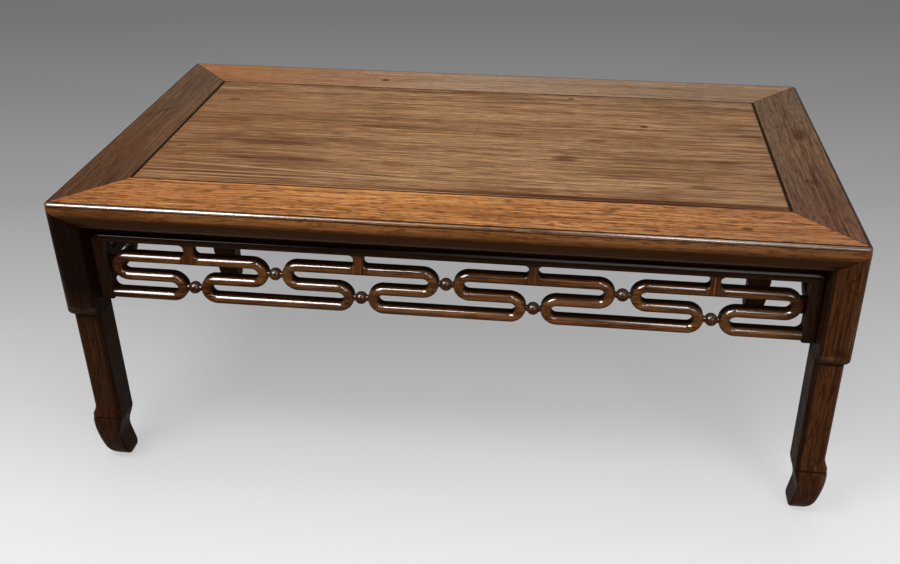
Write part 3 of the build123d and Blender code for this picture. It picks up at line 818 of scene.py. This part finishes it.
@dataclass(frozen=True)
class LegFinish(WoodFinish):
    """Wood of a leg, worn paler on its arrises, with painted shade in its creases.

    A painted highlight lies on the lip of its shoulder. The zones are metres above the floor, or
    in from the outside of the top.
    """

    arris: Zone = Zone(0.0085, 0.0050)
    # A painted highlight on the lip of the shoulder
    lip: Stripe = Stripe(0.2200, 0.0035)
    lip_face: Zone = Zone(0.0045, 0.0025)
    worn: Zone = Zone(0.35, 0.60)
    # How much paler the worn arrises and the painted highlight on the lip are
    wear_and_highlight_gain: Tint = Tint((2.2, 2.2, 2.2), 0.5)
    wear_and_highlight_wax: float = 0.08
    wear_and_highlight_roughness: float = 0.08
    # Painted shade over the hoof, under the shoulder and on the inner side; darker towards the
    # floor
    ankle: Stripe = Stripe(0.0666, 0.0014)
    under_shoulder: Stripe = Stripe(0.2098, 0.0032, 0.85)
    inner_side: Zone = Zone(0.0290, 0.0315, 0.72)
    foot: Zone = Zone(0.075, 0.0, 0.45)
    sole: Zone = Zone(0.006, 0.0, 0.7)
    # The colour of that painted shade
    dirt_and_shade_tint: Tint = Tint((0.010, 0.0045, 0.0025))
    dirt_and_shade_roughness: float = 0.1

    def aged_with_painted_light(self, tree: ShaderTree, spot: Spot, figure: Figure, bare: Surface) -> Surface:
        """Wear the arrises paler, and paint a highlight and shade onto the leg.

        The highlight lies on the lip of the shoulder. The shade lies under the shoulder, in the
        crease over the hoof and on the inner side, and the wood darkens towards the floor.

        Args:
            tree: The material's tree.
            spot: Where the point is.
            figure: The figure's signals.
            bare: The new wood.

        Returns:
            The wood with its wear, painted highlight and painted shade.
        """
        height = spot.place[2]
        # A painted highlight on the lip of the shoulder, joined to the worn arrises
        lip = self.lip.on(height) * self.lip_face.on(spot.inset)
        wear_and_highlight = self.arris.on(spot.farther).most(lip) * self.worn.on(figure["uneven"])
        gain = self.wear_and_highlight_gain
        colour = tree.blend(wear_and_highlight * gain.share, bare.colour, gain.colour, "MULTIPLY")
        # Painted shade over the hoof, under the shoulder and on the inner side; darker towards the
        # floor
        dirt_and_shade = self.ankle.on(height).most(self.under_shoulder.on(height))
        dirt_and_shade = dirt_and_shade.most(self.inner_side.on(spot.farther))
        dirt_and_shade = dirt_and_shade.most(self.foot.on(height).most(self.sole.on(height)))
        colour = self.dirt_and_shade_tint.over(tree, dirt_and_shade, colour)
        roughness = bare.roughness - wear_and_highlight * self.wear_and_highlight_roughness + dirt_and_shade * self.dirt_and_shade_roughness
        return Surface(colour, roughness, wear_and_highlight * self.wear_and_highlight_wax)


@dataclass(frozen=True)
class ApronFinish(WoodFinish):
    """Wood of an apron, bright on the crest of its mouldings and black in its depth.

    The black is painted shade, and so is the darkening high under the top, on faces turned down
    and by the legs. A painted grey reflection lies on the upward front of the rail. The zones are
    metres in from the outside of the top or down from it, or how far the surface faces upwards.
    """

    # Painted shade in the depth, high under the top, on faces turned down and by the legs
    depth: Zone = Zone(0.0200, 0.0240)
    depth_share: float = 0.93
    high: Zone = Zone(0.060, 0.046, 0.88)
    corner: Zone = Zone(0.085, 0.055, 0.6)
    hidden: Zone = Zone(-0.10, -0.75, 0.85)
    # The colour of that painted shade
    dirt_and_shade_tint: Tint = Tint((0.008, 0.0035, 0.0020))
    dirt_and_shade_roughness: float = 0.2
    crest: Zone = Zone(0.30, 0.52)
    crest_inset: Zone = Zone(0.0240, 0.0226)
    # A painted grey reflection on the upward front of the rail, stronger towards the right
    rail_sheen_drop: Zone = Zone(0.0500, 0.0485)
    rail_sheen_inset: Zone = Zone(0.0215, 0.0200)
    rail_sheen_upward: Zone = Zone(0.2, 0.7)
    rail_sheen_side: Zone = Zone(-0.12, 0.22)
    # The colour of that painted reflection
    dust_and_sheen_tint: Tint = Tint((0.24, 0.22, 0.20), 0.8)

    def aged_with_painted_light(self, tree: ShaderTree, spot: Spot, figure: Figure, bare: Surface) -> Surface:
        """Paint shade behind the moulding's front and under the top, and a reflection on the rail.

        Args:
            tree: The material's tree.
            spot: Where the point is.
            figure: The figure's signals. Not used here.
            bare: The new wood.

        Returns:
            The wood with its painted shade and painted reflection.
        """
        # Painted shade in the depth, high under the top, on faces turned down and by the legs
        depth = self.depth.on(spot.inset)
        dirt_and_shade = (depth * self.depth_share).most(self.high.on(spot.drop))
        dirt_and_shade = dirt_and_shade.most(self.hidden.on(spot.upward)).most(self.corner.on(spot.farther))
        colour = self.dirt_and_shade_tint.over(tree, dirt_and_shade, bare.colour)
        crest = self.crest.on(spot.upward) * self.crest_inset.on(spot.inset)
        # A painted grey reflection on the upward front of the rail, stronger towards the right
        dust_and_sheen = self.rail_sheen_drop.on(spot.drop) * self.rail_sheen_inset.on(spot.inset)
        dust_and_sheen = dust_and_sheen * self.rail_sheen_upward.on(spot.upward) * self.rail_sheen_side.on(spot.place[0])
        colour = self.dust_and_sheen_tint.over(tree, dust_and_sheen, colour)
        roughness = bare.roughness + depth * self.dirt_and_shade_roughness
        return Surface(colour, roughness, crest * self.wax)


@dataclass(frozen=True)
class BeadFinish(WoodFinish):
    """Wood of the turned beads, grey and dusty on top, with painted shade on their necks."""

    dusty: Zone = Zone(0.45, 0.90, 0.25)
    # The grey of the dusty tops of the beads
    dust_and_sheen_tint: Tint = Tint((0.20, 0.175, 0.15))
    # Painted shade on the necks of the beads
    depth: Zone = Zone(0.0225, 0.0270, 0.7)
    dirt_and_shade_tint: Tint = Tint((0.010, 0.0045, 0.0025))
    dirt_and_shade_roughness: float = 0.2
    crest: Zone = Zone(0.25, 0.50)

    def aged_with_painted_light(self, tree: ShaderTree, spot: Spot, figure: Figure, bare: Surface) -> Surface:
        """Grey the dusty tops, and paint shade onto the necks.

        Args:
            tree: The material's tree.
            spot: Where the point is.
            figure: The figure's signals. Not used here.
            bare: The new wood.

        Returns:
            The wood with its dusty tops and painted shade.
        """
        colour = self.dust_and_sheen_tint.over(tree, self.dusty.on(spot.upward), bare.colour)
        # Painted shade on the necks of the beads
        depth = self.depth.on(spot.inset)
        colour = self.dirt_and_shade_tint.over(tree, depth, colour)
        roughness = bare.roughness + depth * self.dirt_and_shade_roughness
        return Surface(colour, roughness, self.crest.on(spot.upward) * self.wax)


# ------------------------ sub-assemblies


def dress(node: str, material: bpy.types.Material) -> None:
    """Give a CAD node its material.

    Args:
        node: The node's name.
        material: The material.
    """
    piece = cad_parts[node]
    piece.data.materials.clear()
    piece.data.materials.append(material)
    log.info("dressed %s in %s", node, material.name)


@dataclass
class Panel:
    """The floating panel of two boards, and the battens under it."""

    golden: Tones = Tones(
        light=(0.52, 0.310, 0.155),
        middle=(0.335, 0.172, 0.075),
        dark=(0.180, 0.080, 0.033),
        streak=(0.075, 0.032, 0.016),
    )
    front_marks: tuple[Mark, ...] = (
        Mark(MarkKind.CLOUD, -0.209, -0.081, 0.070, 0.0075, 0.0, 1.4),
        Mark(MarkKind.CLOUD, -0.217, -0.040, 0.060, 0.0060, 0.0, 1.2),
        Mark(MarkKind.GLEAM, -0.190, -0.1085, 0.170, 0.0015, -0.06, 1.3),
        Mark(MarkKind.GLEAM, -0.270, -0.1180, 0.130, 0.0014, 0.0, 1.1),
        Mark(MarkKind.GLEAM, -0.240, -0.1265, 0.150, 0.0014, 0.0, 1.1),
        Mark(MarkKind.GLEAM, -0.300, -0.1335, 0.110, 0.0013, 0.0, 1.1),
        Mark(MarkKind.GLEAM, -0.120, -0.1430, 0.260, 0.0008),
        Mark(MarkKind.LINE, -0.270, -0.1222, 0.120, 0.0011, 0.0, 0.6),
        Mark(MarkKind.LINE, -0.250, -0.1303, 0.140, 0.0011, 0.0, 0.6),
        Mark(MarkKind.LINE, -0.120, -0.1412, 0.270, 0.0009, 0.0, 0.7),
        Mark(MarkKind.GLEAM, -0.270, 0.075, 0.100, 0.0450, 0.0, 0.28),
        Mark(MarkKind.KNOT, -0.3175, 0.085, 0.008, 0.0032),
        Mark(MarkKind.KNOT, -0.331, -0.059, 0.006, 0.0022, 0.0, 0.6),
        Mark(MarkKind.GLEAM, -0.027, 0.051, 0.016, 0.009, 0.0, 0.3),
        Mark(MarkKind.LINE, 0.009, 0.030, 0.0012, 0.0150, 0.0, 0.45),
        Mark(MarkKind.CLOUD, 0.119, -0.046, 0.018, 0.0090, 0.0, 1.4),
        Mark(MarkKind.CLOUD, 0.152, 0.005, 0.016, 0.0060),
        Mark(MarkKind.CLOUD, 0.294, -0.040, 0.021, 0.0060),
        Mark(MarkKind.CLOUD, 0.267, -0.101, 0.016, 0.0050),
        Mark(MarkKind.CLOUD, 0.336, 0.038, 0.015, 0.0045),
        Mark(MarkKind.KNOT, 0.2105, 0.053, 0.0045, 0.0035),
        Mark(MarkKind.CLOUD, 0.180, -0.1400, 0.260, 0.0055, 0.0, 1.7),
    )
    back_marks: tuple[Mark, ...] = (
        Mark(MarkKind.KNOT, 0.119, 0.133, 0.0045, 0.0025),
        Mark(MarkKind.CLOUD, -0.06, 0.136, 0.150, 0.0060),
    )

    def dress(self) -> None:
        """Give the boards and the battens their finishes."""
        front = TopFinish(
            "front_board_wood",
            Grain.ALONG_LENGTH,
            seed=0.0,
            tones=self.golden,
            low_end=(0.81, 0.71, 0.65),
            centre=(1.04, 1.02, 1.02),
            high_end=(0.94, 0.90, 0.96),
            streak_share=0.55,
            patch_share=0.12,
            marks=self.front_marks,
        )
        back = TopFinish(
            "back_board_wood",
            Grain.ALONG_LENGTH,
            seed=3.1,
            tones=self.golden,
            low_end=(0.92, 0.90, 0.90),
            high_end=(0.80, 0.85, 0.95),
            drift_share=0.6,
            marks=self.back_marks,
        )
        dress("front_panel_board", front.material())
        dress("back_panel_board", back.material())
        for node, seed in (("left_batten", 5.0), ("right_batten", 6.0)):
            name = f"{node}_wood"
            plain = WoodFinish(name, Grain.ALONG_DEPTH, seed, self.golden, roughness=0.6)
            dress(node, plain.material())


@dataclass
class TopFrame:
    """The two long stiles and two short rails of the mitred frame."""

    orange: Tones = Tones(
        light=(0.78, 0.360, 0.122),
        middle=(0.58, 0.242, 0.073),
        dark=(0.32, 0.122, 0.040),
        streak=(0.085, 0.030, 0.014),
    )
    # Greyed to stand partly for the sheen of the far top: a painted reflection
    tan_and_sheen: Tones = Tones(
        light=(0.546, 0.370, 0.250),
        middle=(0.420, 0.269, 0.169),
        dark=(0.260, 0.157, 0.098),
        streak=(0.10, 0.052, 0.030),
    )
    umber: Tones = Tones(
        light=(0.340, 0.178, 0.098),
        middle=(0.210, 0.107, 0.059),
        dark=(0.105, 0.050, 0.028),
        streak=(0.042, 0.019, 0.012),
    )
    dust_and_sheen: Colour = (0.20, 0.129, 0.084)
    front_marks: tuple[Mark, ...] = (
        Mark(MarkKind.KNOT, 0.110, -0.1977, 0.0030, 0.0024, 0.0, 0.6),
        Mark(MarkKind.KNOT, 0.2137, -0.2003, 0.0035, 0.0026, 0.0, 0.7),
        Mark(MarkKind.KNOT, 0.3036, -0.1865, 0.0055, 0.0036, 0.0, 0.7),
        Mark(MarkKind.LINE, 0.3608, -0.1703, 0.0110, 0.0016, -0.2),
        Mark(MarkKind.GLEAM, -0.080, -0.1483, 0.280, 0.0011, 0.0, 0.9),
    )
    right_marks: tuple[Mark, ...] = (
        Mark(MarkKind.CLOUD, -0.0756, 0.3855, 0.0065, 0.0070, 0.0, 0.9),
        Mark(MarkKind.CLOUD, 0.050, 0.394, 0.020, 0.0110),
        Mark(MarkKind.KNOT, -0.050, 0.374, 0.0040, 0.0022, 0.0, 0.6),
    )
    left_marks: tuple[Mark, ...] = (Mark(MarkKind.LINE, 0.027, -0.4045, 0.030, 0.0030, 0.8, 0.5),)

    def dress(self) -> None:
        """Give each member of the frame its finish."""
        finishes = {
            "front_top_stile": TopFinish(
                "front_stile_wood",
                Grain.ALONG_LENGTH,
                seed=8.0,
                tones=self.orange,
                low_end=(0.84, 0.77, 0.80),
                high_end=(0.78, 0.78, 0.98),
                figure=0.85,
                streak_share=0.25,
                dash_share=0.70,
                pore_share=0.5,
                drift_share=0.15,
                wax_roughness=0.2,
                marks=self.front_marks,
            ),
            # A painted sheen in its grey palette; the low end warms the left end again
            "back_top_stile": TopFinish(
                "back_stile_wood",
                Grain.ALONG_LENGTH,
                seed=9.3,
                tones=self.tan_and_sheen,
                low_end=(0.98, 0.68, 0.43),
                high_end=(0.84, 0.82, 0.76),
                figure=0.6,
                streak_share=0.3,
                drift_share=0.15,
                marks=(Mark(MarkKind.KNOT, -0.1354, 0.1736, 0.006, 0.004),),
            ),
            "left_top_rail": TopFinish(
                "left_rail_wood",
                Grain.ALONG_DEPTH,
                seed=11.0,
                tones=self.umber,
                low_end=(0.50, 0.42, 0.37),
                centre=(0.70, 0.66, 0.58),
                high_end=(0.70, 0.78, 0.85),
                ends=(-0.2, 0.2),
                figure=0.5,
                streak_share=0.3,
                drift=self.dust_and_sheen,
                marks=self.left_marks,
            ),
            "right_top_rail": TopFinish(
                "right_rail_wood",
                Grain.ALONG_DEPTH,
                seed=12.3,
                tones=self.umber,
                low_end=(0.76, 0.69, 0.74),
                centre=(0.96, 1.0, 1.0),
                high_end=(0.81, 0.93, 1.0),
                ends=(-0.2, 0.2),
                figure=0.6,
                streak_share=0.3,
                dash_share=0.5,
                drift=self.dust_and_sheen,
                marks=self.right_marks,
            ),
        }
        for node, finish in finishes.items():
            dress(node, finish.material())


@dataclass
class Legs:
    """The four legs."""

    wood: Tones = Tones(
        light=(0.200, 0.074, 0.026),
        middle=(0.118, 0.041, 0.0150),
        dark=(0.060, 0.019, 0.007),
        streak=(0.024, 0.008, 0.004),
    )
    # How dark each leg's wood is: partly its own tone, partly painted shade on the left legs
    tone_and_shade: tuple[tuple[str, float], ...] = (
        ("front_left_leg", 0.48),
        ("front_right_leg", 0.75),
        ("back_left_leg", 0.6),
        ("back_right_leg", 0.7),
    )
    first_seed: float = 20.0
    seed_step: float = 1.7
    # Painted shade darkens the head of the front left leg
    shaded_head: str = "front_left_leg"
    head_shade: float = 0.16
    head_heights: tuple[float, float] = (0.13, 0.25)
    knotted: str = "front_right_leg"
    knot: Mark = Mark(MarkKind.KNOT, 0.303, 0.405, 0.003, 0.002, 0.0, 0.5)

    def dress(self) -> None:
        """Give each leg its finish."""
        for place, (node, tone_and_shade) in enumerate(self.tone_and_shade):
            # Each leg's tone with its painted shade, and painted shade on one leg's head
            tint = (tone_and_shade,) * 3
            head = (self.head_shade * tone_and_shade,) * 3 if node == self.shaded_head else tint
            finish = LegFinish(
                f"{node}_wood",
                Grain.UPRIGHT,
                seed=self.first_seed + self.seed_step * place,
                tones=self.wood,
                low_end=tint,
                centre=tint,
                high_end=head,
                ends=self.head_heights,
                figure=0.65,
                dash_share=0.6,
                roughness=0.40,
                reflect=0.03,
                drift_share=0.1,
                marks=(self.knot,) if node == self.knotted else (),
            )
            dress(node, finish.material())


@dataclass
class Aprons:
    """The four pierced aprons."""

    strap: Tones = Tones(
        light=(0.30, 0.115, 0.034),
        middle=(0.165, 0.056, 0.0155),
        dark=(0.065, 0.020, 0.006),
        streak=(0.025, 0.008, 0.003),
    )
    bead: Tones = Tones(
        light=(0.15, 0.060, 0.025),
        middle=(0.085, 0.030, 0.012),
        dark=(0.040, 0.013, 0.005),
        streak=(0.016, 0.006, 0.003),
    )
    dull: Tones = Tones(
        light=(0.105, 0.050, 0.026),
        middle=(0.062, 0.028, 0.015),
        dark=(0.030, 0.013, 0.007),
        streak=(0.014, 0.006, 0.004),
    )

    def dress(self) -> None:
        """Give each piece of the aprons its finish."""
        made: dict[str, bpy.types.Material] = {}
        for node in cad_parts:
            if "_apron_" in node:
                finish = self._finish(node)
                if finish.name not in made:
                    made[finish.name] = finish.material()
                dress(node, made[finish.name])

    def _finish(self, node: str) -> WoodFinish:
        """The finish of one piece of an apron.

        Args:
            node: The piece's name.

        Returns:
            Its finish.
        """
        level, upright = Grain.ALONG_LENGTH, Grain.UPRIGHT
        if node.startswith(("left_apron", "right_apron")):
            level = Grain.ALONG_DEPTH
        way = level.name.lower()
        if node.endswith("_beads"):
            name = f"apron_bead_wood_{way}"
            return BeadFinish(name, level, seed=33.0, tones=self.bead, roughness=0.35, wax=0.30)
        if node.endswith("_rail"):
            name = f"apron_rail_wood_{way}"
            return ApronFinish(name, level, seed=34.0, tones=self.dull, roughness=0.40, wax=0.08)
        if node.endswith("_stile"):
            name = "apron_stile_wood"
            return ApronFinish(name, upright, seed=35.0, tones=self.dull, roughness=0.40, wax=0.2)
        if "_tee_" in node:
            name = "apron_tee_wood"
            return ApronFinish(name, upright, seed=36.0, tones=self.strap, roughness=0.42, wax=0.5)
        name = f"apron_strap_wood_{way}"
        return ApronFinish(name, level, seed=31.0, tones=self.strap, roughness=0.30, wax=0.6)


# ------------------------ studio


@dataclass(frozen=True)
class SoftBox:
    """One rectangular studio lamp."""

    name: str
    place: tuple[float, float, float]
    target: tuple[float, float, float]
    size: tuple[float, float]
    power: float
    only_gloss: bool = False

    def hang(self) -> None:
        """Hang the lamp, pointed at its target."""
        lamp = bpy.data.lights.new(self.name, "AREA")
        lamp.shape = "RECTANGLE"
        lamp.size, lamp.size_y = self.size
        lamp.energy = self.power
        holder = bpy.data.objects.new(self.name, lamp)
        bpy.context.scene.collection.objects.link(holder)
        holder.location = self.place
        aim = Vector(self.target) - Vector(self.place)
        holder.rotation_euler = aim.to_track_quat("-Z", "Y").to_euler()
        holder.visible_camera = False
        holder.visible_diffuse = not self.only_gloss
        log.info("hung %s", self.name)


@dataclass
class Studio:
    """The floor, the lights and the camera.

    The camera's focal length and the centre of its view are in picture units. Each floor stop is
    a distance from the camera in metres and how pale the floor is there.
    """

    camera_place: tuple[float, float, float] = (0.1364, -1.0312, 0.8293)
    yaw: float = math.radians(-6.13)
    pitch: float = math.radians(25.97)
    roll: float = math.radians(0.04)
    focal: float = 957.0
    centre: tuple[float, float] = (489.0, 159.0)
    floor_stops: tuple[tuple[float, float], ...] = (
        (0.735, 0.985),
        (0.813, 0.950),
        (0.893, 0.855),
        (0.985, 0.745),
        (1.21, 0.570),
        (1.53, 0.405),
        (2.01, 0.305),
        (2.60, 0.240),
    )
    floor_half: float = 12.0
    floor_reach: float = 3.0
    floor_glow: float = 0.55
    floor_bounce: float = 0.22
    fill: float = 0.22
    surround: float = 0.45
    lamps: tuple[SoftBox, ...] = (
        SoftBox("overhead", (0.05, 0.35, 2.2), (0.0, 0.05, 0.3), (1.6, 1.2), 12.8),
        SoftBox("key", (-0.70, -0.80, 1.85), (-0.20, -0.15, 0.3), (0.75, 0.50), 11.0),
        SoftBox("window", (-0.97, -1.00, 1.84), (-0.27, -0.21, 0.34), (0.95, 1.8), 100.0, True),
        SoftBox("pane", (0.445, -1.00, 1.84), (0.24, -0.21, 0.34), (0.22, 1.3), 11.0, True),
        SoftBox("front", (1.25, -1.70, 1.25), (0.30, -0.20, 0.2), (0.9, 0.9), 11.0),
    )

    def build(self) -> None:
        """Make the whole studio."""
        self._floor()
        self._world()
        for lamp in self.lamps:
            lamp.hang()
        self._camera()

    def _floor(self) -> None:
        """Lay a wide pale floor that darkens gently with its distance from the camera."""
        mesh = bpy.data.meshes.new("floor")
        half = self.floor_half
        corners = [(-half, -half, 0), (half, -half, 0), (half, half, 0), (-half, half, 0)]
        mesh.from_pydata(corners, [], [(0, 1, 2, 3)])
        floor = bpy.data.objects.new("floor", mesh)
        bpy.context.scene.collection.objects.link(floor)
        material = bpy.data.materials.new("floor_paper")
        tree = ShaderTree(material)
        coordinates = tree.node("ShaderNodeTexCoord", {}, {})
        x, y, _ = tree.parts(coordinates.outputs["Object"])
        start_x, start_y, _ = self.camera_place
        away = (x - start_x) * math.sin(self.yaw) + (y - start_y) * math.cos(self.yaw)
        stops = [(place / self.floor_reach, (level,) * 3) for place, level in self.floor_stops]
        pale = tree.colours(away / self.floor_reach, stops)
        paper = tree.node("ShaderNodeBsdfDiffuse", {}, {"Color": pale})
        glow = tree.node("ShaderNodeEmission", {}, {"Color": pale})
        seen = tree.node(
            "ShaderNodeMixShader", {}, {0: self.floor_glow, 1: paper.outputs[0], 2: glow.outputs[0]}
        )
        bounce = tree.node("ShaderNodeBsdfDiffuse", {}, {"Color": (self.floor_bounce,) * 3})
        mixed = tree.node(
            "ShaderNodeMixShader",
            {},
            {0: self._seen(tree), 1: bounce.outputs[0], 2: seen.outputs[0]},
        )
        tree.node("ShaderNodeOutputMaterial", {}, {"Surface": mixed.outputs[0]})
        mesh.materials.append(material)
        log.info("laid the floor")

    def _seen(self, tree: ShaderTree) -> Signal:
        """Whether a ray shows the backdrop: from the camera, in a gloss or through glass.

        Args:
            tree: The floor material's tree.

        Returns:
            1 for such a ray and 0 for any other.
        """
        path = tree.node("ShaderNodeLightPath", {}, {})
        names = ("Is Camera Ray", "Is Glossy Ray", "Is Transmission Ray")
        camera, gloss, glass = (Signal(tree, path.outputs[name]) for name in names)
        return camera.most(gloss).most(glass)

    def _world(self) -> None:
        """Fill the studio with even light, before a plain grey surround."""
        world = bpy.data.worlds.new("studio")
        bpy.context.scene.world = world
        tree = ShaderTree(world)
        path = tree.node("ShaderNodeLightPath", {}, {})
        seen = Signal(tree, path.outputs["Is Camera Ray"])
        colour = tree.blend(seen, (self.fill,) * 3, (self.surround,) * 3)
        glow = tree.node("ShaderNodeBackground", {}, {"Color": colour, "Strength": 1.0})
        tree.node("ShaderNodeOutputWorld", {}, {"Surface": glow.outputs[0]})

    def _camera(self) -> None:
        """Set the camera up in front of the table, a little to the right, looking down."""
        data = bpy.data.cameras.new("camera")
        data.sensor_width = SENSOR_WIDTH
        data.sensor_fit = "HORIZONTAL"
        data.lens = self.focal / IMAGE_WIDTH * SENSOR_WIDTH
        data.shift_x = (IMAGE_WIDTH / 2 - self.centre[0]) / IMAGE_WIDTH
        data.shift_y = (self.centre[1] - IMAGE_HEIGHT / 2) / IMAGE_WIDTH
        data.clip_start = NEAREST_SEEN
        camera = bpy.data.objects.new("camera", data)
        bpy.context.scene.collection.objects.link(camera)
        camera.location = self.camera_place
        turn = Euler((math.pi / 2 - self.pitch, 0.0, -self.yaw)).to_matrix()
        tilt = Euler((0.0, 0.0, self.roll)).to_matrix()
        camera.rotation_euler = (turn @ tilt).to_euler()
        bpy.context.scene.camera = camera
        log.info("set up the camera")


# ------------------------ the table


def main() -> None:
    """Dress the table and set up the studio, piece by piece."""
    bpy.context.scene.view_settings.view_transform = "Standard"
    for part in (Panel(), TopFrame(), Legs(), Aprons()):
        part.dress()
        log.info("finished %s", type(part).__name__)
    Studio().build()


if __name__ == "__main__":
    main()
